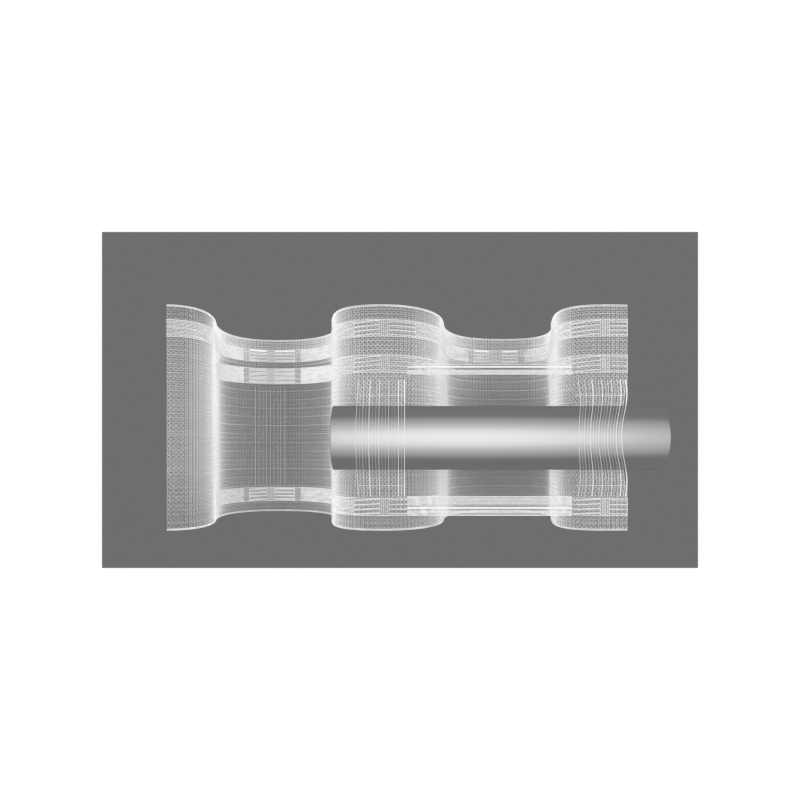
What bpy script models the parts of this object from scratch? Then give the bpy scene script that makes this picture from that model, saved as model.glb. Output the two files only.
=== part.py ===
"""A length of net curtain heading tape standing in deep waves on a round rod."""

import math

import bmesh
import bpy
from mathutils import Vector
from mathutils.geometry import interpolate_bezier

# Frame: metres, +Z up. The origin is the centre of the rod's right end face.
# +X runs along the rod and out of that face, and the front of the tape faces -Y.

# Rod
ROD_RADIUS = 0.014
ROD_LENGTH = 0.143
ROD_SIDES = 48
ROD_RIM = 0.0008

# Tape, measured as it stands
TAPE_HEIGHT = 0.100
TAPE_TOP = 0.05905
NET_THICKNESS = 0.0010
BAND_THICKNESS = 0.0016
BAND_SHOULDER = 0.0006
CLEARANCE = 0.0003
CHORD_ALLOWANCE = 0.00015
STEPS_PER_BEND = 10
STEPS_AT_END = 3
SLOPE_STEP = 0.0002
NO_BAND = range(0)

# The fold path, seen from above: one row for each crest, flank and trough
FOLD_COLUMNS = ("x", "y", "heading", "reach_in", "reach_out")
FOLDS = {
    "crest 1 cut end": (-0.2170, 0.0020, 0, 0.000, 0.012),
    "flank 1": (-0.2065, 0.0430, 104, 0.026, 0.026),
    "trough 1": (-0.1850, 0.0995, 0, 0.026, 0.022),
    "flank 2": (-0.1475, 0.0520, -90, 0.028, 0.030),
    "crest 2": (-0.1220, 0.0017, 0, 0.021, 0.018),
    "flank 3": (-0.0920, 0.0440, 86, 0.024, 0.024),
    "trough 2": (-0.0550, 0.0955, 0, 0.028, 0.024),
    "flank 4": (-0.0357, 0.0500, -103, 0.030, 0.036),
    "crest 3": (-0.0220, 0.0018, 0, 0.020, 0.004),
    "crest 3 cut end": (-0.0130, 0.0023, 4, 0.004, 0.000),
}

# The denser woven bands: how far each edge lies below the tape's top edge, the fold
# where the band begins, and the two folds between which it leaves the tape as a strap
BAND_COLUMNS = (
    "top_at_crest",
    "bottom_at_crest",
    "top_in_trough_1",
    "bottom_in_trough_1",
    "begins_at",
    "leaves_at",
    "returns_at",
)
BANDS = {
    "upper band": (0.0065, 0.0143, 0.0057, 0.0132, "crest 1 cut end", None, None),
    "middle band": (0.0223, 0.0301, 0.0165, 0.0259, "flank 1", "flank 3", "flank 4"),
    "lower band": (0.0854, 0.0936, 0.0859, 0.0942, "flank 1", "flank 3", "flank 4"),
}

# Rod pockets: combs of float threads that hold the rod against the tape
# lean is how far the threads shift sideways between their roots and the rod's front
POCKET_COLUMNS = ("x_left", "threads", "lean")
POCKETS = {
    "rod_pocket_middle": (-0.1326, 16, 0.0),
    "rod_pocket_end": (-0.0348, 16, -0.0045),
}
POCKET_HALF_HEIGHT = 0.0245
POCKET_STRIP = 0.0015
THREAD_PITCH = 0.00137
THREAD_WIDTH = 0.0007
THREAD_THICKNESS = 0.0006
GROUND_ROWS_ON_ROD = (0.0, 0.004, 0.008, 0.016, POCKET_HALF_HEIGHT)
THREAD_ROWS_ON_ROD = (0.0, 0.0025, 0.005, 0.0075, POCKET_HALF_HEIGHT)

# Draw straps, which bridge the second trough straight from crest to crest
STRAP_LEFT = -0.1105
STRAP_RIGHT = -0.0370
STRAP_THICKNESS = 0.0010
STRAP_COLUMNS = ("z_low", "z_high")
STRAPS = {
    "draw_strap_upper": (0.0283, 0.0330),
    "draw_strap_lower": (-0.0345, -0.0261),
}

# Colour, roughness and metallic value of each finish
FINISHES = {
    "tape_net": ((0.80, 0.81, 0.83, 1.0), 0.55, 0.0),
    "pocket_thread": ((0.88, 0.89, 0.90, 1.0), 0.45, 0.0),
    "draw_strap": ((0.92, 0.92, 0.93, 1.0), 0.45, 0.0),
    "rod_metal": ((0.78, 0.78, 0.79, 1.0), 0.32, 1.0),
}


def clear_scene():
    for thing in list(bpy.data.objects):
        bpy.data.objects.remove(thing, do_unlink=True)


def new_collection(name):
    collection = bpy.data.collections.new(name)
    bpy.context.scene.collection.children.link(collection)
    return collection


def finish_material(object_name, finish):
    colour, roughness, metallic = FINISHES[finish]
    material = bpy.data.materials.new(f"{object_name}_{finish}")
    material.use_nodes = True
    shader = material.node_tree.nodes["Principled BSDF"]
    shader.inputs["Base Color"].default_value = colour
    shader.inputs["Roughness"].default_value = roughness
    shader.inputs["Metallic"].default_value = metallic
    return material


def add_object(mesh_builder, name, finish, collection):
    """Turns a bmesh into a named object with its own material."""
    mesh = bpy.data.meshes.new(name)
    mesh_builder.to_mesh(mesh)
    mesh_builder.free()
    thing = bpy.data.objects.new(name, mesh)
    thing.data.materials.append(finish_material(name, finish))
    collection.objects.link(thing)
    return thing


def thicken(thing, thickness):
    """Gives an open sheet an even wall on both sides of its faces."""
    wall = thing.modifiers.new("wall", "SOLIDIFY")
    wall.thickness = thickness
    wall.offset = 0.0
    return wall


def fold_path():
    """The tape's centre line seen from above, as (x, y) points from left to right."""
    knots = [dict(zip(FOLD_COLUMNS, row)) for row in FOLDS.values()]
    points = []
    for start, end in zip(knots, knots[1:]):
        steps = STEPS_AT_END if end["reach_out"] == 0 else STEPS_PER_BEND
        leave = math.radians(start["heading"])
        arrive = math.radians(end["heading"])
        first = Vector((start["x"], start["y"]))
        last = Vector((end["x"], end["y"]))
        handle_out = first + start["reach_out"] * Vector((math.cos(leave), math.sin(leave)))
        handle_in = last - end["reach_in"] * Vector((math.cos(arrive), math.sin(arrive)))
        bend = interpolate_bezier(first, handle_out, handle_in, last, steps + 1)
        points.extend(bend[:-1])
    points.append(last)
    return points


def crest_depth(path, x):
    """The y of the front-most place where the tape's centre line passes x."""
    depths = []
    for a, b in zip(path, path[1:]):
        if min(a.x, b.x) <= x <= max(a.x, b.x) and a.x != b.x:
            share = (x - a.x) / (b.x - a.x)
            depths.append(a.y + share * (b.y - a.y))
    return min(depths)


def in_front(path, x, gap):
    """The y of a face that stands the given gap in front of the centre line at x."""
    depth = crest_depth(path, x)
    slope = (crest_depth(path, x + SLOPE_STEP) - crest_depth(path, x - SLOPE_STEP)) / (2 * SLOPE_STEP)
    return depth - gap * math.hypot(1.0, slope)


def taut_depth(height, radius, root_depth):
    """How far from the rod's axis a cloth lies that is drawn taut over the rod.

    height is measured from the axis. The cloth is held at root_depth at both ends
    of the pocket, wraps the rod at the given radius, and is straight in between.
    """
    height = abs(height)
    reach = math.hypot(POCKET_HALF_HEIGHT, root_depth)
    if root_depth >= radius or height >= POCKET_HALF_HEIGHT:
        return root_depth
    touch = math.atan2(root_depth, POCKET_HALF_HEIGHT) + math.acos(radius / reach)
    touch_height = radius * math.cos(touch)
    touch_depth = radius * math.sin(touch)
    if height <= touch_height:
        return math.sqrt(radius**2 - height**2)
    share = (height - touch_height) / (POCKET_HALF_HEIGHT - touch_height)
    return touch_depth + share * (root_depth - touch_depth)


def band_columns(band):
    """The columns of the sheet on which a band is woven."""
    begins, leaves, returns = (
        STEPS_PER_BEND * list(FOLDS).index(fold) if fold else None
        for fold in (band["begins_at"], band["leaves_at"], band["returns_at"])
    )
    last = STEPS_PER_BEND * len(FOLDS)
    woven = set(range(begins, last))
    return woven - set(range(leaves + 1, returns)) if leaves else woven


def ground_rows():
    """Rows across the tape: (drop at a crest, drop in trough 1, columns that are on a band)."""
    rows = [(0.0, 0.0, NO_BAND), (TAPE_HEIGHT, TAPE_HEIGHT, NO_BAND)]
    for values in BANDS.values():
        band = dict(zip(BAND_COLUMNS, values))
        top, low_top = band["top_at_crest"], band["top_in_trough_1"]
        bottom, low_bottom = band["bottom_at_crest"], band["bottom_in_trough_1"]
        woven = band_columns(band)
        rows.append((top - BAND_SHOULDER, low_top - BAND_SHOULDER, NO_BAND))
        rows.append((top, low_top, woven))
        rows.append((bottom, low_bottom, woven))
        rows.append((bottom + BAND_SHOULDER, low_bottom + BAND_SHOULDER, NO_BAND))
    for height in GROUND_ROWS_ON_ROD:
        for side in {height, -height}:
            rows.append((TAPE_TOP - side, TAPE_TOP - side, NO_BAND))
    return sorted(rows, key=lambda row: row[:2])


def trough_1_share(path, column):
    """0 at the crests and 1 at the back of trough 1, rising smoothly between."""
    back = FOLDS["trough 1"][1]
    front = FOLDS["crest 2"][1]
    if path[column].x > FOLDS["crest 2"][0]:
        return 0.0
    share = max(0.0, min(1.0, (path[column].y - front) / (back - front)))
    return share * share * (3 - 2 * share)


def tape_ground(path, collection):
    """The woven tape: one sheet on the fold path, thicker along its bands."""
    rows = ground_rows()
    columns = len(path) - 1
    builder = bmesh.new()
    bmesh.ops.create_grid(builder, x_segments=columns, y_segments=len(rows) - 1, size=0.5)
    dent_radius = ROD_RADIUS + CLEARANCE + CHORD_ALLOWANCE + NET_THICKNESS / 2
    on_bands = []
    builder.verts.ensure_lookup_table()
    for point in builder.verts:
        column = round((point.co.x + 0.5) * columns)
        row = round((0.5 - point.co.y) * (len(rows) - 1))
        at_crest, in_trough, band = rows[row]
        drop = at_crest + trough_1_share(path, column) * (in_trough - at_crest)
        height = TAPE_TOP - drop
        depth = path[column].y
        if path[column].x > FOLDS["flank 2"][0]:
            depth = taut_depth(height, dent_radius, depth)
        point.co = Vector((path[column].x, depth, height))
        if column in band:
            on_bands.append(point.index)
    tape = add_object(builder, "tape_ground", "tape_net", collection)
    group = tape.vertex_groups.new(name="bands")
    group.add(on_bands, 1.0, "REPLACE")
    wall = thicken(tape, BAND_THICKNESS)
    wall.vertex_group = "bands"
    wall.thickness_vertex_group = NET_THICKNESS / BAND_THICKNESS
    return tape


def rod_pocket(name, x_left, threads, lean, path, collection):
    """A comb of float threads over the front of the rod, with a strip at each root."""
    columns = 2 * threads - 1
    rows = {-height for height in THREAD_ROWS_ON_ROD} | set(THREAD_ROWS_ON_ROD)
    rows |= {POCKET_HALF_HEIGHT + POCKET_STRIP, -POCKET_HALF_HEIGHT - POCKET_STRIP}
    rows = sorted(rows, reverse=True)
    builder = bmesh.new()
    bmesh.ops.create_grid(builder, x_segments=columns, y_segments=len(rows) - 1, size=0.5)
    wrap_radius = ROD_RADIUS + CLEARANCE + CHORD_ALLOWANCE + THREAD_THICKNESS / 2
    off_ground = NET_THICKNESS / 2 + CLEARANCE + CHORD_ALLOWANCE
    last_row = len(rows) - 1
    gaps = []
    for face in builder.faces:
        middle = face.calc_center_median()
        column = math.floor((middle.x + 0.5) * columns)
        row = math.floor((0.5 - middle.y) * last_row)
        if column % 2 == 1 and 0 < row < last_row - 1:
            gaps.append(face)
    for point in builder.verts:
        edge = round((point.co.x + 0.5) * columns)
        row = round((0.5 - point.co.y) * last_row)
        x = x_left + (edge // 2) * THREAD_PITCH + (edge % 2) * THREAD_WIDTH
        root_depth = in_front(path, x, off_ground) - THREAD_THICKNESS / 2
        y = -taut_depth(rows[row], wrap_radius, -root_depth)
        forward = (root_depth - y) / (root_depth + wrap_radius)
        point.co = Vector((x + lean * forward, y, rows[row]))
    bmesh.ops.delete(builder, geom=gaps, context="FACES")
    pocket = add_object(builder, name, "pocket_thread", collection)
    thicken(pocket, THREAD_THICKNESS)
    return pocket


def draw_strap(name, z_low, z_high, path, collection):
    """A flat strap from the front of crest 2 straight across to crest 3."""
    off_ground = BAND_THICKNESS / 2 + CLEARANCE
    start = Vector((STRAP_LEFT, in_front(path, STRAP_LEFT, off_ground) - STRAP_THICKNESS / 2))
    end = Vector((STRAP_RIGHT, in_front(path, STRAP_RIGHT, off_ground) - STRAP_THICKNESS / 2))
    builder = bmesh.new()
    bmesh.ops.create_cube(builder, size=1.0)
    along = end - start
    across = Vector((-along.y, along.x)).normalized() * STRAP_THICKNESS
    for point in builder.verts:
        place = start + (point.co.x + 0.5) * along + point.co.y * across
        height = z_low + (point.co.z + 0.5) * (z_high - z_low)
        point.co = Vector((place.x, place.y, height))
    return add_object(builder, name, "draw_strap", collection)


def rod(collection):
    """A solid round bar, its right end face at the origin."""
    builder = bmesh.new()
    bmesh.ops.create_cone(
        builder,
        cap_ends=True,
        segments=ROD_SIDES,
        radius1=ROD_RADIUS,
        radius2=ROD_RADIUS,
        depth=ROD_LENGTH,
    )
    bar = add_object(builder, "rod", "rod_metal", collection)
    bar.rotation_euler = (0.0, math.pi / 2, 0.0)
    bar.location = (-ROD_LENGTH / 2, 0.0, 0.0)
    rim = bar.modifiers.new("rim", "BEVEL")
    rim.width = ROD_RIM
    rim.segments = 2
    rim.limit_method = "ANGLE"
    rim.angle_limit = math.radians(60)
    bar.data.shade_smooth()
    bar.data.set_sharp_from_angle(angle=math.radians(40))
    return bar


def build():
    clear_scene()
    collection = new_collection("curtain_tape_on_rod")
    path = fold_path()
    tape_ground(path, collection)
    for name, values in POCKETS.items():
        pocket = dict(zip(POCKET_COLUMNS, values))
        rod_pocket(name, pocket["x_left"], pocket["threads"], pocket["lean"], path, collection)
    for name, values in STRAPS.items():
        strap = dict(zip(STRAP_COLUMNS, values))
        draw_strap(name, strap["z_low"], strap["z_high"], path, collection)
    rod(collection)


build()
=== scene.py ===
# %% [markdown]
# # A net heading tape standing in waves on a rod
#
# Heading tape is woven from clear nylon threads, with a few denser white bands and loose
# float threads that make pockets. This lesson builds it the way it is woven: every thread is
# laid out flat first, and the finished net is then bent onto the folds. The frame holds the
# solids at their real size, so every piece here is placed by the same fold path.

# %% Load the frame
import math

import bmesh
import bpy
import numpy as np
from mathutils import Matrix, Vector


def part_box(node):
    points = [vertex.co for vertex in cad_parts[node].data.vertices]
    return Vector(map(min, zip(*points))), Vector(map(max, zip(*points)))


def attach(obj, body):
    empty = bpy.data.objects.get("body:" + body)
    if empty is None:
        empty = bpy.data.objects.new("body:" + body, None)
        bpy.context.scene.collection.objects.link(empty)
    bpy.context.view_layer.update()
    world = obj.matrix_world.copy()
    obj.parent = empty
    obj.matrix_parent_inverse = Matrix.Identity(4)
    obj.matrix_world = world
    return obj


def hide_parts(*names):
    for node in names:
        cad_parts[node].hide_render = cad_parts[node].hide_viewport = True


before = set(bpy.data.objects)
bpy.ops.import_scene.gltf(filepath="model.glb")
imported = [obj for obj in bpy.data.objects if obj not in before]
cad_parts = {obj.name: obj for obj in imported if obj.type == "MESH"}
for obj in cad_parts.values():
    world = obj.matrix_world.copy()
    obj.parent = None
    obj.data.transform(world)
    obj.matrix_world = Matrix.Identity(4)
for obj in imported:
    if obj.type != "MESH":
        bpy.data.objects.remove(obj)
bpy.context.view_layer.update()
MM = 0.001
print("nodes:", sorted(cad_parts))

# %% [markdown]
# ## The camera
#
# The tape is seen level from the front, from close by, so that the folds behind look clearly
# smaller than the crests in front. The horizon lies a little below the middle of the picture.
# Shifting the lens does that without tilting the camera, so upright threads stay upright.

# %% Camera
PICTURE = 800
SENSOR = 36.0
FOCAL_PIXELS = 677.7
HORIZON_BELOW_MIDDLE = 50
EYE = Vector((-113.7, -298.0, -5.32)) * MM

lens = bpy.data.cameras.new("camera")
lens.sensor_width = SENSOR
lens.lens = FOCAL_PIXELS * SENSOR / PICTURE
lens.shift_y = HORIZON_BELOW_MIDDLE / PICTURE
lens.clip_start = 0.01
camera = bpy.data.objects.new("camera", lens)
camera.location = EYE
camera.rotation_euler = (math.radians(90), 0, 0)
bpy.context.scene.collection.objects.link(camera)
bpy.context.scene.camera = camera
print("lens", round(lens.lens, 2), "mm")

# %% [markdown]
# ## The fold path
#
# Seen from above, the tape is one wavy line: three crests towards the viewer and two troughs
# behind. Each row below is one bend of it, with the direction that the tape runs in there and
# how far it keeps that direction before and after. Joining the rows with Bezier curves gives
# the same line that the solid tape follows.

# %% Fold path
FOLDS = {  # x, y, heading in degrees, reach in, reach out, all lengths in metres
    "crest 1 cut end": (-0.2170, 0.0020, 0, 0.000, 0.012),
    "flank 1": (-0.2065, 0.0430, 104, 0.026, 0.026),
    "trough 1": (-0.1850, 0.0995, 0, 0.026, 0.022),
    "flank 2": (-0.1475, 0.0520, -90, 0.028, 0.030),
    "crest 2": (-0.1220, 0.0017, 0, 0.021, 0.018),
    "flank 3": (-0.0920, 0.0440, 86, 0.024, 0.024),
    "trough 2": (-0.0550, 0.0955, 0, 0.028, 0.024),
    "flank 4": (-0.0357, 0.0500, -103, 0.030, 0.036),
    "crest 3": (-0.0220, 0.0018, 0, 0.020, 0.004),
    "crest 3 cut end": (-0.0130, 0.0023, 4, 0.004, 0.000),
}
STEPS = 60


def heading(degrees):
    return np.array([math.cos(math.radians(degrees)), math.sin(math.radians(degrees))])


def bend_points(start, end):
    """Points along one Bezier bend, without its last one."""
    first, last = np.array(start[:2]), np.array(end[:2])
    leave = first + start[4] * heading(start[2])
    arrive = last - end[3] * heading(end[2])
    t = np.linspace(0, 1, STEPS, endpoint=False)[:, None]
    return ((1 - t) ** 3 * first + 3 * (1 - t) ** 2 * t * leave
            + 3 * (1 - t) * t**2 * arrive + t**3 * last)


rows = list(FOLDS.values())
path = np.vstack([bend_points(a, b) for a, b in zip(rows, rows[1:])] + [np.array([rows[-1][:2]])])
step_lengths = np.linalg.norm(np.diff(path, axis=0), axis=1)
ALONG = np.concatenate([[0], np.cumsum(step_lengths)])
FOLD_AT = {name: ALONG[min(i * STEPS, len(ALONG) - 1)] for i, name in enumerate(FOLDS)}
TAPE_LENGTH = ALONG[-1]
tangent = np.gradient(path, axis=0)
tangent /= np.linalg.norm(tangent, axis=1)[:, None]
FRONT = np.stack([tangent[:, 1], -tangent[:, 0]], axis=1)
print("tape length", round(TAPE_LENGTH, 4), "m")

# %% [markdown]
# ## Bending flat work onto the folds
#
# A helper turns flat work into hung work. In the flat, x is the distance along the tape, y is
# the height and z is how far a thread lies in front of the cloth. At the two crests on the
# rod the cloth is pushed back: it wraps the rod at one radius and runs straight from there
# to the top and bottom of the pocket.

# %% Hang helper
TAPE_TOP = 0.05905
TAPE_HEIGHT = 0.100
ROD_RADIUS = 0.014
POCKET_HALF = 0.0245
GROUND_RADIUS = 0.01495


def taut_depth(height, radius, root):
    """How far behind the rod's axis the taut cloth lies at each height."""
    height = np.abs(height)
    held = np.minimum(root, radius * 0.999)
    reach = np.hypot(POCKET_HALF, held)
    touch = np.arctan2(held, POCKET_HALF) + np.arccos(radius / reach)
    touch_height, touch_depth = radius * np.cos(touch), radius * np.sin(touch)
    share = (height - touch_height) / (POCKET_HALF - touch_height)
    straight = touch_depth + share * (held - touch_depth)
    wrapped = np.sqrt(np.maximum(radius**2 - height**2, 0))
    taut = np.where(height <= touch_height, wrapped, straight)
    return np.where((root >= radius) | (height >= POCKET_HALF), root, taut)


def path_at(along):
    return np.interp(along, ALONG, path[:, 0]), np.interp(along, ALONG, path[:, 1])


def front_at(along):
    return np.interp(along, ALONG, FRONT[:, 0]), np.interp(along, ALONG, FRONT[:, 1])


def read_points(mesh):
    flat = np.empty(len(mesh.vertices) * 3)
    mesh.vertices.foreach_get("co", flat)
    return flat.reshape(-1, 3)


def hang(mesh):
    """Bends a flat mesh onto the folds."""
    along, height, lift = read_points(mesh).T
    x, y = path_at(along)
    normal_x, normal_y = front_at(along)
    on_rod = along > FOLD_AT["flank 2"]
    y = np.where(on_rod, taut_depth(height, GROUND_RADIUS, y), y)
    hung = np.stack([x + lift * normal_x, y + lift * normal_y, height], axis=1)
    mesh.vertices.foreach_set("co", hung.ravel())
    mesh.update()


def along_at(x, side="front"):
    """The distance along the tape where it passes x, at a crest or at the back of a trough."""
    before, after = path[:-1, 0] - x, path[1:, 0] - x
    hits = np.nonzero(before * after <= 0)[0]
    nearest = min if side == "front" else max
    pick = nearest(hits, key=lambda i: path[i, 1])
    share = before[pick] / (before[pick] - after[pick]) if before[pick] != after[pick] else 0
    return ALONG[pick] + share * (ALONG[pick + 1] - ALONG[pick])


print("second crest pocket starts", round(along_at(-0.1326), 4), "m along")

# %% [markdown]
# ## Threads
#
# A thread starts as a narrow flat strip between two points, cut across often enough to bend.
# A grid operator makes it, placed by a matrix. Hundreds of them share one mesh, and a
# Solidify modifier turns all the strips into four-sided threads at once, which costs far
# fewer faces than round ones and looks the same at this size. The net itself has too many
# threads even for that, so its threads stay flat ribbons, with no Solidify.

# %% Thread helpers
def thread(work, start, end, width, lift, steps):
    """Adds one flat strip from start to end, both (along, height)."""
    a, b = Vector((*start, lift)), Vector((*end, lift))
    run = b - a
    place = (Matrix.Translation((a + b) / 2)
             @ Matrix.Rotation(math.atan2(run.y, run.x), 4, "Z")
             @ Matrix.Diagonal((run.length, width, 1, 1)))
    bmesh.ops.create_grid(work, x_segments=steps, y_segments=1, size=0.5, matrix=place)


def make_piece(name, work, material, thickness, bend=hang):
    """Turns flat work into a hung piece of solid threads."""
    mesh = bpy.data.meshes.new(name)
    work.to_mesh(mesh)
    work.free()
    bend(mesh)
    mesh.materials.append(material)
    piece = bpy.data.objects.new(name, mesh)
    bpy.context.scene.collection.objects.link(piece)
    if thickness:
        wall = piece.modifiers.new("thread", "SOLIDIFY")
        wall.thickness = thickness
        wall.offset = 0
    piece.visible_glossy = False  # the rod mirrors the light, not the threads
    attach(piece, "root")
    print(name, "strip faces:", len(mesh.polygons))
    return piece


# %% [markdown]
# ## Finishes
#
# Nylon thread is a clear, slightly milky plastic. Thin threads catch the light as bright
# lines, so the finish is a pale, fairly glossy plastic. Light from behind, which the clear
# thread lets pass, is stood in for by a painted glow: each finish gives off a little white
# light of its own. Fine noise along each thread makes it glint unevenly, as drawn filament
# does. The yarn of the bands and cords is the same plastic, textured until it is white
# and soft.

# %% Fibre materials
def new_material(name, roughness, metallic=0.0):
    material = bpy.data.materials.new(name)
    material.use_nodes = True
    shader = material.node_tree.nodes["Principled BSDF"]
    shader.inputs["Roughness"].default_value = roughness
    shader.inputs["Metallic"].default_value = metallic
    return material, material.node_tree, shader


def noise_colour(tree, shader, scale, dark, light, stretch=(1, 1, 1)):
    """Mixes two colours by fine noise, stretched along the thread's run."""
    place = tree.nodes.new("ShaderNodeTexCoord")
    turn = tree.nodes.new("ShaderNodeMapping")
    turn.inputs["Scale"].default_value = stretch
    noise = tree.nodes.new("ShaderNodeTexNoise")
    noise.inputs["Scale"].default_value = scale
    noise.inputs["Detail"].default_value = 3
    ramp = tree.nodes.new("ShaderNodeValToRGB")
    ramp.color_ramp.elements[0].position = 0.35
    ramp.color_ramp.elements[0].color = (*dark, 1)
    ramp.color_ramp.elements[1].position = 0.65
    ramp.color_ramp.elements[1].color = (*light, 1)
    tree.links.new(place.outputs["Object"], turn.inputs["Vector"])
    tree.links.new(turn.outputs["Vector"], noise.inputs["Vector"])
    tree.links.new(noise.outputs["Fac"], ramp.inputs["Fac"])
    tree.links.new(ramp.outputs["Color"], shader.inputs["Base Color"])
    return noise


def noise_bump(tree, shader, noise, distance, strength):
    bump = tree.nodes.new("ShaderNodeBump")
    bump.inputs["Distance"].default_value = distance
    bump.inputs["Strength"].default_value = strength
    tree.links.new(noise.outputs["Fac"], bump.inputs["Height"])
    tree.links.new(bump.outputs["Normal"], shader.inputs["Normal"])


def fibre(name, dark, light, roughness, scale, sheen, painted_glow, stretch=(1, 1, 1)):
    material, tree, shader = new_material(name, roughness)
    # painted glow: a little white emission stands in for light from behind that the clear thread lets pass
    shader.inputs["Emission Color"].default_value = (1, 1, 1, 1)
    shader.inputs["Emission Strength"].default_value = painted_glow
    shader.inputs["Sheen Weight"].default_value = sheen
    shader.inputs["Sheen Roughness"].default_value = 0.4
    noise = noise_colour(tree, shader, scale, dark, light, stretch)
    noise_bump(tree, shader, noise, 0.0002, 0.4)
    return material


NET_FIBRE = fibre("clear_net_fibre", (0.80, 0.81, 0.82), (0.93, 0.93, 0.94), 0.40, 900, 0.6, 0.09)
POCKET_FIBRE = fibre("pocket_fibre", (0.70, 0.71, 0.72), (0.84, 0.85, 0.86), 0.45, 1100, 0.5, 0.08)
BAND_YARN = fibre("white_band_yarn", (0.72, 0.72, 0.73), (1.00, 1.00, 1.00), 0.55, 420, 0.5, 0.13,
                  (0.4, 0.4, 2.4))
CORD_YARN = fibre("white_cord_yarn", (0.86, 0.86, 0.87), (0.97, 0.97, 0.98), 0.50, 900, 0.3, 0.16)
print("fibres:", NET_FIBRE.name, BAND_YARN.name, CORD_YARN.name)

# %% [markdown]
# ## The net
#
# The ground of the tape is an open gauze of fine flat threads. Rows run along the tape and
# picks cross them, both every 0.5 mm. A locking thread crosses over every second row from
# side to side, and neighbouring ones cross the opposite way, which gives the net its diagonal
# grain. A short table gives how much of its spacing each thread fills, at each fold and
# height. It was set until the greys of the render agreed with the real tape, so it
# says how dense the net looks and isn't a count of threads. Each thread is laid out 1 mm wide
# and then narrowed about its own middle.
#
# Two choices here are not seen on the real tape. The 0.95 in the table is a close weave
# behind the rod, hidden from the front. The ribbons also tilt, one thread to the left and the
# next to the right, and are up to three times as deep as they look. Both are there because
# the frame measures a cloth by the surface of its threads, and asks for 0.7 of the flat cut.
# Both are there to give the net more thread surface: a net as open as this has 0.65 of its
# flat cut without the close weave.

# %% Net
ROW_PITCH = 0.5 * MM
ROWS = round(TAPE_HEIGHT / ROW_PITCH)
PICKS = 2 * round(TAPE_LENGTH / (2 * ROW_PITCH))
PICK_PITCH = TAPE_LENGTH / PICKS
PICK_STEPS = 24
ROW_STEPS = 230
CROSSING_REACH = 0.33 * MM
LOCKING_WIDTH = 1.5
ROW_SHARE, PICK_SHARE = 1.2, 0.75
HEAVY_ROW, HEAVY_GAIN, LIGHT_LOSS = 5, 0.9, 0.20  # in the troughs, every fifth row stands out
TROUGH_STARTS, TROUGH_DEEPENS = 0.05, 0.03
FLANK_TILT, FRONT_TILT = 1.3, 3.0
LATENESS = (6, 4, 6, 2, 6, 5, 7, 2, 1)  # how late each stretch between folds widens, as a power
ROW_LIFT, PICK_LIFT, CROSSING_LIFT = -0.1 * MM, 0.1 * MM, 0.3 * MM
ZONE_DROPS = (3, 18, 38, 46, 59, 72, 97)
THREAD_SHARES = {  # share of its spacing that a thread fills, at these drops below the top in mm
    "crest 1 cut end": (0.06, 0.115, 0.12, 0.12, 0.12, 0.115, 0.06),
    "flank 1": (0.25, 0.26, 0.26, 0.26, 0.26, 0.26, 0.22),
    "trough 1": (0.22, 0.036, 0.042, 0.042, 0.042, 0.042, 0.047),
    "flank 2": (0.32, 0.50, 0.54, 0.54, 0.56, 0.56, 0.32),
    "crest 2": (0.10, 0.165, 0.23, 0.23, 0.95, 0.165, 0.09),
    "flank 3": (0.40, 0.38, 0.68, 0.75, 0.75, 0.75, 0.50),
    "trough 2": (0.24, 0.09, 0.043, 0.043, 0.03, 0.018, 0.05),
    "flank 4": (0.34, 0.46, 0.60, 0.60, 0.60, 0.60, 0.34),
    "crest 3": (0.13, 0.155, 0.175, 0.175, 0.95, 0.185, 0.11),
    "crest 3 cut end": (0.11, 0.135, 0.17, 0.17, 0.95, 0.18, 0.10),
}
chance = np.random.default_rng(12)
tape_bottom = TAPE_TOP - TAPE_HEIGHT
uneven = chance.uniform(0.8, 1.2, PICKS + 1)
strayed = chance.normal(0, 0.04 * MM, PICKS + 1)


def between_folds(along, values):
    """Reads a value given at each fold. In between it changes late, close to the flank."""
    place = np.interp(along, list(FOLD_AT.values()), range(len(FOLD_AT)))
    fold = place.astype(int)
    share = place - fold
    power = np.array(LATENESS)[np.minimum(fold, len(LATENESS) - 1)]
    late = np.where(fold % 2 == 0, share**power, 1 - (1 - share) ** power)
    return np.interp(fold + late, range(len(FOLD_AT)), values)


def thread_share(along, height):
    """The share of its spacing that a net thread fills at each place, from the table."""
    by_zone = np.array([between_folds(along, zone) for zone in zip(*THREAD_SHARES.values())])
    zone = np.interp((TAPE_TOP - height) / MM, ZONE_DROPS, range(len(ZONE_DROPS)))
    above = np.minimum(zone.astype(int), len(ZONE_DROPS) - 2)
    column = np.arange(len(along))
    upper, lower = by_zone[above, column], by_zone[above + 1, column]
    return upper + (zone - above) * (lower - upper)


def strip_middles(mesh, points):
    """For each corner of a flat strip, the middle of a face that it belongs to."""
    corners = np.empty(len(mesh.loops), dtype=int)
    mesh.loops.foreach_get("vertex_index", corners)
    faces = corners.reshape(-1, 4)
    middles = np.empty((len(points), 2))
    middles[faces] = points[faces, :2].mean(axis=1)[:, None]
    return middles.T


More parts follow.
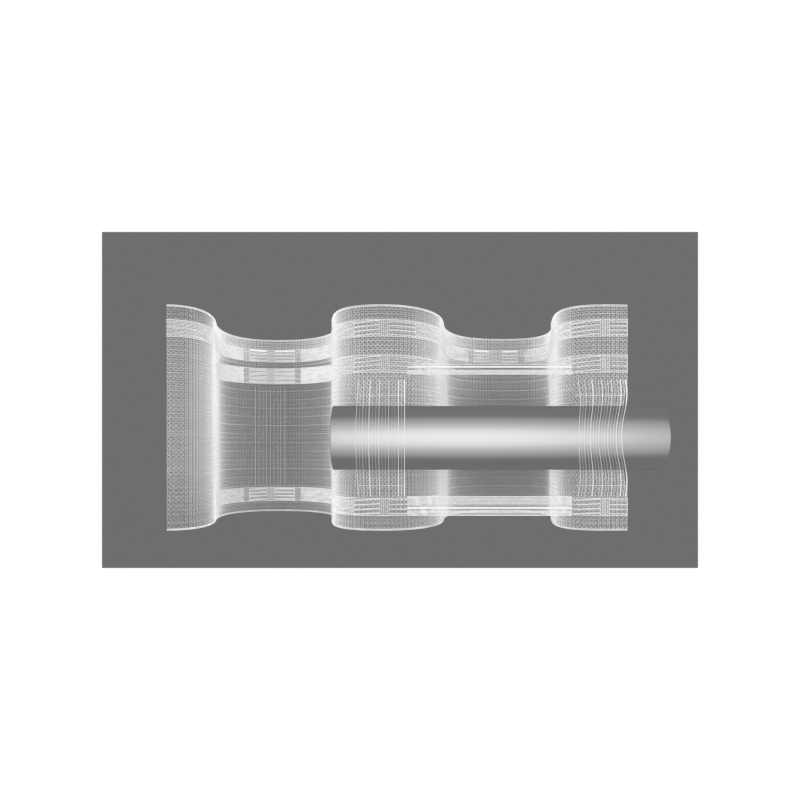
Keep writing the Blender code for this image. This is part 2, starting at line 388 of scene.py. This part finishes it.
def hang_net(pitch, reach, scale=1.0):
    """A bend for net threads: it sets their width, tilt and crossing, then hangs them."""
    def bend(mesh):
        points = read_points(mesh)
        along, height, lift = points.T.copy()
        middle_x, middle_y = strip_middles(mesh, points)
        is_pick = np.isclose(lift, PICK_LIFT, atol=0.01 * MM)
        index = np.where(is_pick, middle_x / PICK_PITCH, (TAPE_TOP - middle_y) / pitch).round().astype(int)
        width = thread_share(along, height) * uneven[index] * ROW_PITCH / MM * scale
        deep = np.clip((path_at(along)[1] - TROUGH_STARTS) / TROUGH_DEEPENS, 0, 1)
        row_share = ROW_SHARE * (1 + deep * np.where(index % HEAVY_ROW, -LIGHT_LOSS, HEAVY_GAIN))
        width *= np.where(is_pick, PICK_SHARE, row_share)
        offset = np.where(is_pick, along - middle_x, height - middle_y) * width
        side = (-1.0) ** (np.round(along / (2 * PICK_PITCH)) + index)
        points[:, 0] = np.where(is_pick, middle_x + offset, along)
        points[:, 1] = np.where(is_pick, height, middle_y + offset + strayed[index] + reach * side)
        tilt = FLANK_TILT + (FRONT_TILT - FLANK_TILT) * front_at(along)[1] ** 2
        points[:, 2] = lift + offset * tilt * (1 - 2 * (index % 2))
        mesh.vertices.foreach_set("co", points.ravel())
        hang(mesh)
    return bend


net, locking = bmesh.new(), bmesh.new()
for row in range(1, ROWS):
    height = TAPE_TOP - row * ROW_PITCH
    thread(net, (0, height), (TAPE_LENGTH, height), MM, ROW_LIFT, ROW_STEPS)
    if row % 2 == 0:
        thread(locking, (0, height), (TAPE_LENGTH, height), MM, CROSSING_LIFT, PICKS // 2)
for pick in range(PICKS + 1):
    place = np.clip(pick * PICK_PITCH + strayed[pick], 0, TAPE_LENGTH)
    thread(net, (place, tape_bottom), (place, TAPE_TOP), MM, PICK_LIFT, PICK_STEPS)
net_piece = make_piece("net_ground", net, NET_FIBRE, 0, hang_net(ROW_PITCH, 0))
locking_piece = make_piece("net_locking_threads", locking, NET_FIBRE, 0,
                           hang_net(2 * ROW_PITCH, CROSSING_REACH, LOCKING_WIDTH))

# %% [markdown]
# ## The selvedges
#
# The top and bottom edges are finished with a few threads laid close together, which show as
# a thin bright line all the way round the waves.

# %% Selvedges
SELVEDGE_DROPS = (0.12, 0.6, 99.4, 99.88)
SELVEDGE_WIDTH = 0.24 * MM
selvedge = bmesh.new()
for drop in SELVEDGE_DROPS:
    height = TAPE_TOP - drop * MM
    thread(selvedge, (0, height), (TAPE_LENGTH, height), SELVEDGE_WIDTH, 0, 300)
selvedge_piece = make_piece("selvedge_threads", selvedge, BAND_YARN, 0.2 * MM)

# %% [markdown]
# ## The bands
#
# Three denser bands run along the tape. They are close rows of white yarn, broken on each
# crest and in each trough by a hook pocket. In the first trough the middle band rides up, so
# a band is laid out in its own height and then fitted between its two edges. At the second
# trough the two lower bands leave the tape, where they run straight across as draw straps.

# %% Bands
BANDS = {  # drops of both edges in mm, at a crest and in trough 1; how closely it is woven
    # at each of them; the fold where it starts; the gap that a strap leaves
    "upper": (6.5, 14.3, 5.7, 13.2, 0.95, 0.70, "crest 1 cut end", None),
    "middle": (22.3, 30.1, 16.5, 25.9, 0.88, 0.97, "flank 1", ("flank 3", "flank 4")),
    "lower": (85.4, 93.6, 85.9, 94.2, 1.10, 0.60, "flank 1", ("flank 3", "flank 4")),
}
POCKETS = {  # x in mm of the left end, divider and right end, and where the fold faces
    "trough_1": (-201.0, -191.5, -187.0, -175.0, "back"),
    "crest_2": (-134.1, -122.6, -118.6, -107.2, "front"),
    "trough_2": (-71.6, -62.3, -54.7, -45.6, "back"),
    "crest_3": (-36.4, -25.1, -21.4, -13.2, "front"),
}
BAND_HEIGHT = 7.8 * MM
YARN_ROWS = 13
YARN_PITCH = BAND_HEIGHT / YARN_ROWS
YARN_COVERS = {  # share of a band that its yarn covers, along the tape
    "crest 1 cut end": 0.30,
    "flank 1": 0.90,
    "trough 1": 1.00,
    "flank 2": 0.90,
    "crest 2": 0.30,
    "flank 3": 0.20,
    "trough 2": 0.60,
    "flank 4": 0.80,
    "crest 3": 0.38,
    "crest 3 cut end": 0.28,
}
WINDOW_COVERS = {"front": 0.22, "back": 0.55}
BESIDE_WINDOW_COVER = 0.4
EDGE_THREAD = 0.22 * MM
EDGES_AT = (-0.03 * BAND_HEIGHT, -0.97 * BAND_HEIGHT)
YARN_STEP = 2.2 * MM
FLOAT_FILL = {"trough_2": 0.55}  # the floats are thinner here
POCKET_MARGIN = {"back": 4.0 * MM, "front": 0.3 * MM}


def trough_1_share(along):
    """0 at the crests and 1 at the back of trough 1."""
    back, front = FOLDS["trough 1"][1], FOLDS["crest 2"][1]
    share = np.clip((path_at(along)[1] - front) / (back - front), 0, 1)
    return np.where(along < FOLD_AT["crest 2"], share * share * (3 - 2 * share), 0)


def band_height(band, share_down, along):
    """The height of a place in a band: share_down is 0 at its top edge and 1 at its bottom."""
    top, bottom, trough_top, trough_bottom = (value * MM for value in BANDS[band][:4])
    rise = trough_1_share(along)
    high = top + rise * (trough_top - top)
    low = bottom + rise * (trough_bottom - bottom)
    return TAPE_TOP - (high + share_down * (low - high))


def closeness(band, along):
    """How closely a band is woven, which differs in trough 1."""
    on_crest, in_trough = BANDS[band][4:6]
    return on_crest + trough_1_share(along) * (in_trough - on_crest)


def hang_in_band(band, thin_yarn=False):
    """A bend for work laid below 0, down to the height of a band: it fits it into the band."""
    def bend(mesh):
        points = read_points(mesh)
        if thin_yarn:
            row = np.floor(-strip_middles(mesh, points)[1] / YARN_PITCH)
            middle = -(row + 0.5) * YARN_PITCH
            cover = between_folds(points[:, 0], list(YARN_COVERS.values()))
            cover *= closeness(band, points[:, 0])
            points[:, 1] = middle + (points[:, 1] - middle) * cover
        points[:, 1] = band_height(band, -points[:, 1] / BAND_HEIGHT, points[:, 0])
        mesh.vertices.foreach_set("co", points.ravel())
        hang(mesh)
    return bend


def pockets_of(band):
    """The hook pockets of a band: name to its four places along the tape."""
    found = {}
    first, gap = BANDS[band][6:]
    for name, (*ends, side) in POCKETS.items():
        places = [along_at(x * MM, side) for x in ends]
        in_gap = gap and FOLD_AT[gap[0]] < places[0] < FOLD_AT[gap[1]]
        if places[0] > FOLD_AT[first] and not in_gap:
            found[name] = places
    return found


def yarn_runs(band):
    """The stretches of a band's yarn: start, end, and the share of its width that it keeps."""
    first, gap = BANDS[band][6:]
    edges = [FOLD_AT[first]]
    windows = []
    for name, places in pockets_of(band).items():
        margin = POCKET_MARGIN[POCKETS[name][-1]]
        cover = WINDOW_COVERS[POCKETS[name][-1]]
        start, end = places[0] - margin, places[-1] + margin
        windows += [(start, places[0], BESIDE_WINDOW_COVER), (places[0], places[-1], cover),
                    (places[-1], end, BESIDE_WINDOW_COVER)]
        edges += [start, end]
    edges += [FOLD_AT[fold] for fold in gap] if gap else []
    edges = sorted(edges + [TAPE_LENGTH])
    solid = [(a, b, 1) for a, b in zip(edges[::2], edges[1::2]) if b - a > 1 * MM]
    return solid + [(a, min(b, TAPE_LENGTH), share) for a, b, share in windows if a < TAPE_LENGTH]


band_pieces = []
for band in BANDS:
    work, edges = bmesh.new(), bmesh.new()
    for start, end, kept in yarn_runs(band):
        steps = max(4, round((end - start) / YARN_STEP))
        for row in range(YARN_ROWS):
            height = -(row + 0.5) * YARN_PITCH
            thread(work, (start, height), (end, height), kept * YARN_PITCH, 0.35 * MM, steps)
        for height in EDGES_AT:
            thread(edges, (start, height), (end, height), EDGE_THREAD, 0.5 * MM, steps)
    band_pieces.append(
        make_piece(f"{band}_band_yarn", work, BAND_YARN, 0.18 * MM, hang_in_band(band, True)))
    band_pieces.append(
        make_piece(f"{band}_band_edges", edges, BAND_YARN, 0.15 * MM, hang_in_band(band)))
print("bands:", [piece.name for piece in band_pieces])

# %% [markdown]
# ## The hook pockets
#
# Each hook pocket is a pair of small windows in a band. Loose threads run over each window,
# and the yarn is woven close at the divider and round the frame.

# %% Hook pockets
HOOK_THREAD = 0.9 * MM
HOOK_AT = -0.12 * BAND_HEIGHT
FLOATS = 4
FLOATS_IN = {  # slant and width of each float, in the left and right windows
    "front": ((0.40 * MM, 0.50 * MM), (-0.08 * MM, 0.34 * MM)),
    "back": ((0.20 * MM, 1.30 * MM), (-0.08 * MM, 1.40 * MM)),
}
FRAME_WIDTH = 0.3 * MM
DIVIDER_THREADS = 6
DIVIDER_WIDTH = 0.24 * MM
pocket_pieces = []
hook_threads = bmesh.new()
for band in BANDS:
    work = bmesh.new()
    for name, ends in pockets_of(band).items():
        left, right = FLOATS_IN[POCKETS[name][-1]]
        for start, end, (slant, width) in ((*ends[:2], left), (*ends[2:], right)):
            width *= closeness(band, start) * FLOAT_FILL.get(name, 1)
            for row in range(FLOATS):
                height = -(row + 0.5) / FLOATS * BAND_HEIGHT
                thread(work, (start, height - slant), (end, height + slant), width, 0.6 * MM, 8)
            if band == "upper" and POCKETS[name][-1] == "back":
                thread(hook_threads, (start, HOOK_AT), (end, HOOK_AT), HOOK_THREAD, 0.8 * MM, 8)
        for height in EDGES_AT:
            thread(work, (ends[0], height), (ends[3], height), FRAME_WIDTH, 0.65 * MM, 16)
        uprights = [ends[0], *np.linspace(ends[1], ends[2], DIVIDER_THREADS), ends[3]]
        for place in uprights:
            thread(work, (place, -BAND_HEIGHT), (place, 0), DIVIDER_WIDTH, 0.55 * MM, 4)
    pocket_pieces.append(
        make_piece(f"{band}_hook_pockets", work, POCKET_FIBRE, 0.2 * MM, hang_in_band(band)))

pocket_pieces.append(
    make_piece("trough_hook_threads", hook_threads, CORD_YARN, 0.3 * MM, hang_in_band("upper")))

# %% [markdown]
# ## The rod pockets
#
# Over the rod, the upright threads of the net come to the front of the weave and float free
# for 49 mm. They are the same clear nylon, drawn tight over the rod, and spread a little
# where they enter the weave. Their spacing is uneven, and a few are doubled. Two rows above
# the rod and two below hold them to the net. The first trough carries the same floats as a
# spare pocket, and there they lie flat on the net.

# %% Spare pockets
SPARE_ENDS = (-197.6, -181.2)  # x in mm of the first and last thread
SPARE_THREADS = 9
SPARE_TOP, SPARE_BOTTOM = 32.0 * MM, -26.0 * MM
SPARE_LIFT = 0.5 * MM
ROOT_ENDS = ((-132.0, -112.0), (-34.5, -13.5))  # x in mm, on the second and third crests
ROOT_LINES = {19.1: 0.45, 15.0: 0.45, -17.9: 0.2, -21.2: 0.2}  # height and width in mm
spare = bmesh.new()
places = np.linspace(*(along_at(x * MM, "back") for x in SPARE_ENDS), SPARE_THREADS)
for place in places + chance.normal(0, 0.25 * MM, SPARE_THREADS):
    width = chance.uniform(0.05, 0.13) * MM
    thread(spare, (place, SPARE_BOTTOM), (place, SPARE_TOP), width, SPARE_LIFT, 16)
for ends in ROOT_ENDS:
    start, end = (along_at(x * MM) for x in ends)
    for height, width in ROOT_LINES.items():
        thread(spare, (start, height * MM), (end, height * MM), width * MM, SPARE_LIFT, 12)
spare_piece = make_piece("spare_pocket_threads", spare, NET_FIBRE, 0.06 * MM)

# %% Rod pocket threads
ROD_POCKETS = {  # x of the left thread in mm; lean over the rod of the first and last thread
    "rod_pocket_middle": (-132.6, 0.0, 0.0),
    "rod_pocket_end": (-34.8, -4.5, -7.2),
}
FLOAT_WIDTHS = (0.7, 0.3, 0.6, 0.3, 1.3, 0.3, 0.4, 0.9, 0.3, 0.4, 0.8, 0.3, 0.4, 1.3, 0.4, 1.5)
FLOAT_PITCH = 1.37 * MM
FLOAT_RADIUS = 0.01475
FLOAT_ROOT_LIFT = 1.25 * MM
HALF_THREAD = 0.35 * MM
ROOT_LENGTH = 1.3 * MM
DRAWN_IN_AT = (0, 13.5, 16, 26)  # heights in mm at which the next line gives each thread's width
DRAWN_IN = (0.14, 0.14, 0.30, 0.34)  # as a share of what it was laid out with
for node, (left, *leans) in ROD_POCKETS.items():
    work = bmesh.new()
    for index, width in enumerate(FLOAT_WIDTHS):
        x = left * MM + index * FLOAT_PITCH + HALF_THREAD + chance.normal(0, 0.1 * MM)
        top = POCKET_HALF + ROOT_LENGTH
        thread(work, (x, -top), (x, top), width * MM, 0, 40)

    def bend_over_rod(mesh, left=left * MM, leans=leans):
        points = read_points(mesh)
        x, height, _ = points.T
        middle_x, _ = strip_middles(mesh, points)
        drawn_in = np.interp(np.abs(height) / MM, DRAWN_IN_AT, DRAWN_IN)
        x = middle_x + (x - middle_x) * drawn_in
        along = np.array([along_at(value) for value in x])
        root = path_at(along)[1] - FLOAT_ROOT_LIFT
        y = -taut_depth(height, FLOAT_RADIUS, -root)
        forward = (root - y) / (root + FLOAT_RADIUS)
        lean = np.interp(middle_x, (left, left + len(FLOAT_WIDTHS) * FLOAT_PITCH), leans) * MM
        hung = np.stack([x + lean * forward**1.5, y, height], axis=1)
        mesh.vertices.foreach_set("co", hung.ravel())
        mesh.update()

    piece = make_piece(f"{node}_threads", work, NET_FIBRE, 0.2 * MM, bend_over_rod)
    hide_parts(node)

# %% [markdown]
# ## The draw straps
#
# Two straps bridge the second trough in a straight line from crest to crest. Each is a few
# flat yarns with one or two bright, thicker cords among them. Pulling the cords is what sets
# the waves. At this size a four-sided cord looks round.

# %% Draw straps
STRAPS = {  # height and width in mm of each yarn, and whether it is a bright cord
    "draw_strap_upper": (
        (32.9, 0.25, 0), (31.75, 0.65, 1), (30.2, 0.3, 0), (29.65, 0.35, 0), (29.1, 0.3, 0), (28.55, 0.4, 0)),
    "draw_strap_lower": (
        (-26.2, 0.4, 1), (-26.85, 0.35, 0), (-27.45, 0.3, 0), (-28.05, 0.4, 0), (-28.65, 0.3, 0),
        (-29.25, 0.3, 0), (-29.85, 0.25, 0), (-31.1, 0.8, 1), (-32.1, 0.2, 0), (-32.7, 0.35, 0),
        (-33.25, 0.35, 0), (-33.85, 0.2, 0), (-34.4, 0.4, 0)),
}
for node, yarns in STRAPS.items():
    low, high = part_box(node)
    middle_y = (low[1] + high[1]) / 2
    works = (bmesh.new(), bmesh.new())
    for height, width, is_cord in yarns:
        thread(works[is_cord], (low[0], height * MM), (high[0], height * MM), width * MM, 0, 24)

    def lay_straight(mesh, middle_y=middle_y):
        x, height, lift = read_points(mesh).T
        mesh.vertices.foreach_set("co", np.stack([x, middle_y - lift, height], axis=1).ravel())
        mesh.update()

    for work, name, finish in zip(works, ("yarn", "cords"), (NET_FIBRE, CORD_YARN)):
        piece = make_piece(f"{node}_{name}", work, finish, 0.4 * MM, lay_straight)
        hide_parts(node)

# %% [markdown]
# ## The rod
#
# The rod is a drawn bar with a satin finish, cut square and broken at its edges. A cone
# operator with two equal ends makes it, a bevel eases the ends, and the round side is shaded
# smooth. Very fine lines along its length are from drawing.

# %% Rod
ROD_SIDES = 160
EASED_EDGE = 0.3 * MM
low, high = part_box("rod")
work = bmesh.new()
bmesh.ops.create_cone(work, cap_ends=True, segments=ROD_SIDES, radius1=ROD_RADIUS, radius2=ROD_RADIUS,
                      depth=high[0] - low[0])
rims = [edge for edge in work.edges if any(len(face.verts) > 4 for face in edge.link_faces)]
bmesh.ops.bevel(work, geom=rims, offset=EASED_EDGE, segments=2, affect="EDGES", profile=0.5)
middle = (Vector(low) + Vector(high)) / 2
bmesh.ops.transform(work, matrix=Matrix.Translation(middle) @ Matrix.Rotation(math.radians(90), 4, "Y"),
                    verts=work.verts)
for face in work.faces:
    face.smooth = len(face.verts) == 4
mesh = bpy.data.meshes.new("satin_rod")
work.to_mesh(mesh)
work.free()
rod_metal, tree, shader = new_material("satin_rod_metal", 0.2, 1.0)
noise = noise_colour(tree, shader, 60, (0.90, 0.90, 0.905), (0.91, 0.91, 0.915), (0.4, 40, 40))
noise_bump(tree, shader, noise, 0.000005, 0.02)
mesh.materials.append(rod_metal)
rod = bpy.data.objects.new("satin_rod", mesh)
bpy.context.scene.collection.objects.link(rod)
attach(rod, "root")
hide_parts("rod")
print("rod faces:", len(mesh.polygons))

# %% [markdown]
# ## Floor, backdrop and light
#
# Clear and white threads vanish against white, so a plain grey card stands behind the tape on
# the pale floor. It shows on its front only, and seen from behind the backdrop is grey too.
# The light is broad and soft from all round, so that the threads stay bright even where they
# turn away. Shiny surfaces see one wide light in front instead, strongest at eye level, which
# draws the bright band along the middle of the rod.

# %% Stage
CARD_DEPTH = 0.152
CARD_GREY = 0.156
CARD_LEFT, CARD_RIGHT = -0.3116, 0.0842
CARD_TOP, CARD_BOTTOM = 0.1395, -0.0837


def plain_light(name, value, one_sided=False):
    material = bpy.data.materials.new(name)
    material.use_nodes = True
    tree = material.node_tree
    tree.nodes.clear()
    glow = tree.nodes.new("ShaderNodeEmission")
    glow.inputs["Color"].default_value = (value, value, value * 1.03, 1)
    out = tree.nodes.new("ShaderNodeOutputMaterial")
    tree.links.new(glow.outputs["Emission"], out.inputs["Surface"])
    if one_sided:
        side = tree.nodes.new("ShaderNodeNewGeometry")
        clear = tree.nodes.new("ShaderNodeBsdfTransparent")
        mix = tree.nodes.new("ShaderNodeMixShader")
        tree.links.new(side.outputs["Backfacing"], mix.inputs["Fac"])
        tree.links.new(glow.outputs["Emission"], mix.inputs[1])
        tree.links.new(clear.outputs["BSDF"], mix.inputs[2])
        tree.links.new(mix.outputs["Shader"], out.inputs["Surface"])
    return material


def stage_sheet(name, corners_low, corners_high, turn, material):
    work = bmesh.new()
    bmesh.ops.create_grid(work, x_segments=1, y_segments=1, size=0.5)
    size = Vector(corners_high) - Vector(corners_low)
    middle = (Vector(corners_high) + Vector(corners_low)) / 2
    spread = (size.x, size.z if turn else size.y, 1, 1)
    place = Matrix.Translation(middle) @ Matrix.Rotation(math.radians(90 * turn), 4, "X")
    bmesh.ops.transform(work, matrix=place @ Matrix.Diagonal(spread), verts=work.verts)
    mesh = bpy.data.meshes.new(name)
    work.to_mesh(mesh)
    work.free()
    mesh.materials.append(material)
    sheet = bpy.data.objects.new(name, mesh)
    bpy.context.scene.collection.objects.link(sheet)
    return sheet


card = stage_sheet("grey_card", (CARD_LEFT, CARD_DEPTH, CARD_BOTTOM), (CARD_RIGHT, CARD_DEPTH, CARD_TOP),
                   1, plain_light("card_grey", CARD_GREY, one_sided=True))
floor = stage_sheet("pale_floor", (-1.6, -0.6, CARD_BOTTOM), (1.4, 2.0, CARD_BOTTOM), 0,
                    plain_light("floor_white", 1.0))
floor.visible_glossy = False
floor.visible_diffuse = False
print("card", round(CARD_RIGHT - CARD_LEFT, 3), "m wide")

# %% Light
world = bpy.data.worlds.new("studio")
bpy.context.scene.world = world
world.use_nodes = True
tree = world.node_tree
tree.nodes.clear()
direction = tree.nodes.new("ShaderNodeTexCoord")
split = tree.nodes.new("ShaderNodeSeparateXYZ")
flip = tree.nodes.new("ShaderNodeMath")
flip.operation = "MULTIPLY"
flip.inputs[1].default_value = -1
ramp = tree.nodes.new("ShaderNodeValToRGB")
RAMP = (
    (0.0, 0.168), (0.14, 0.178), (0.30, 0.27), (0.56, 0.41), (0.766, 0.56), (0.90, 0.80), (1.0, 0.93))
for index, (place, value) in enumerate(RAMP):
    stop = ramp.color_ramp.elements[index] if index < 2 else ramp.color_ramp.elements.new(place)
    stop.position = place
    stop.color = (value, value, value, 1)
FRONT_LEVEL, SIDE_LEVEL = 0.33, 1.12
sides = tree.nodes.new("ShaderNodeMath")
sides.operation = "MULTIPLY"
off_axis = tree.nodes.new("ShaderNodeMath")
off_axis.operation = "SUBTRACT"
off_axis.inputs[0].default_value = 1
spread = tree.nodes.new("ShaderNodeMapRange")
spread.inputs["To Min"].default_value = FRONT_LEVEL
spread.inputs["To Max"].default_value = SIDE_LEVEL
ray = tree.nodes.new("ShaderNodeLightPath")
for_gloss = tree.nodes.new("ShaderNodeMix")
for_gloss.data_type = "RGBA"
soft = tree.nodes.new("ShaderNodeBackground")
white = tree.nodes.new("ShaderNodeBackground")
backdrop = tree.nodes.new("ShaderNodeMapRange")
backdrop.inputs["From Min"].default_value = -0.2
backdrop.inputs["From Max"].default_value = 0.0
backdrop.inputs["To Min"].default_value = CARD_GREY
backdrop.inputs["To Max"].default_value = 1.0
mix = tree.nodes.new("ShaderNodeMixShader")
out = tree.nodes.new("ShaderNodeOutputWorld")
tree.links.new(direction.outputs["Generated"], split.inputs["Vector"])
tree.links.new(split.outputs["Y"], flip.inputs[0])
tree.links.new(flip.outputs["Value"], ramp.inputs["Fac"])
tree.links.new(ray.outputs["Is Glossy Ray"], for_gloss.inputs[0])
tree.links.new(split.outputs["Y"], sides.inputs[0])
tree.links.new(split.outputs["Y"], sides.inputs[1])
tree.links.new(sides.outputs["Value"], off_axis.inputs[1])
tree.links.new(off_axis.outputs["Value"], spread.inputs["Value"])
tree.links.new(spread.outputs["Result"], for_gloss.inputs[6])
tree.links.new(ramp.outputs["Color"], for_gloss.inputs[7])
tree.links.new(for_gloss.outputs[2], soft.inputs["Color"])
tree.links.new(split.outputs["Y"], backdrop.inputs["Value"])
tree.links.new(backdrop.outputs["Result"], white.inputs["Color"])
tree.links.new(ray.outputs["Is Camera Ray"], mix.inputs["Fac"])
tree.links.new(soft.outputs["Background"], mix.inputs[1])
tree.links.new(white.outputs["Background"], mix.inputs[2])
tree.links.new(mix.outputs["Shader"], out.inputs["Surface"])


def soft_lamp(name, place, aim, size, power):
    lamp = bpy.data.lights.new(name, "AREA")
    lamp.shape = "SQUARE"
    lamp.size = size
    lamp.energy = power
    thing = bpy.data.objects.new(name, lamp)
    thing.location = place
    thing.rotation_euler = (Vector(aim) - Vector(place)).to_track_quat("-Z", "Y").to_euler()
    thing.visible_glossy = False
    bpy.context.scene.collection.objects.link(thing)


TAPE_MIDDLE = (-0.115, 0.03, 0.0)
soft_lamp("left_light", (-1.15, -0.35, 0.20), TAPE_MIDDLE, 0.5, 4.6)
soft_lamp("right_light", (0.95, -0.40, 0.10), TAPE_MIDDLE, 0.5, 7.0)
bpy.context.scene.view_settings.view_transform = "Standard"
print("lights:", len(bpy.data.lights))

# %% [markdown]
# ## Hiding the frame's tape
#
# The net is one sheet of cloth, cut to 0.1 m by half a metre and held in waves. The bands,
# pockets and edges are woven into it. Together they stand in for the frame's solid tape, which is hidden
# here.

# %% Hide the frame's tape
with_net = [locking_piece, selvedge_piece, spare_piece, *band_pieces, *pocket_pieces]
for piece in [net_piece, *with_net]:
    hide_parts("tape_ground")
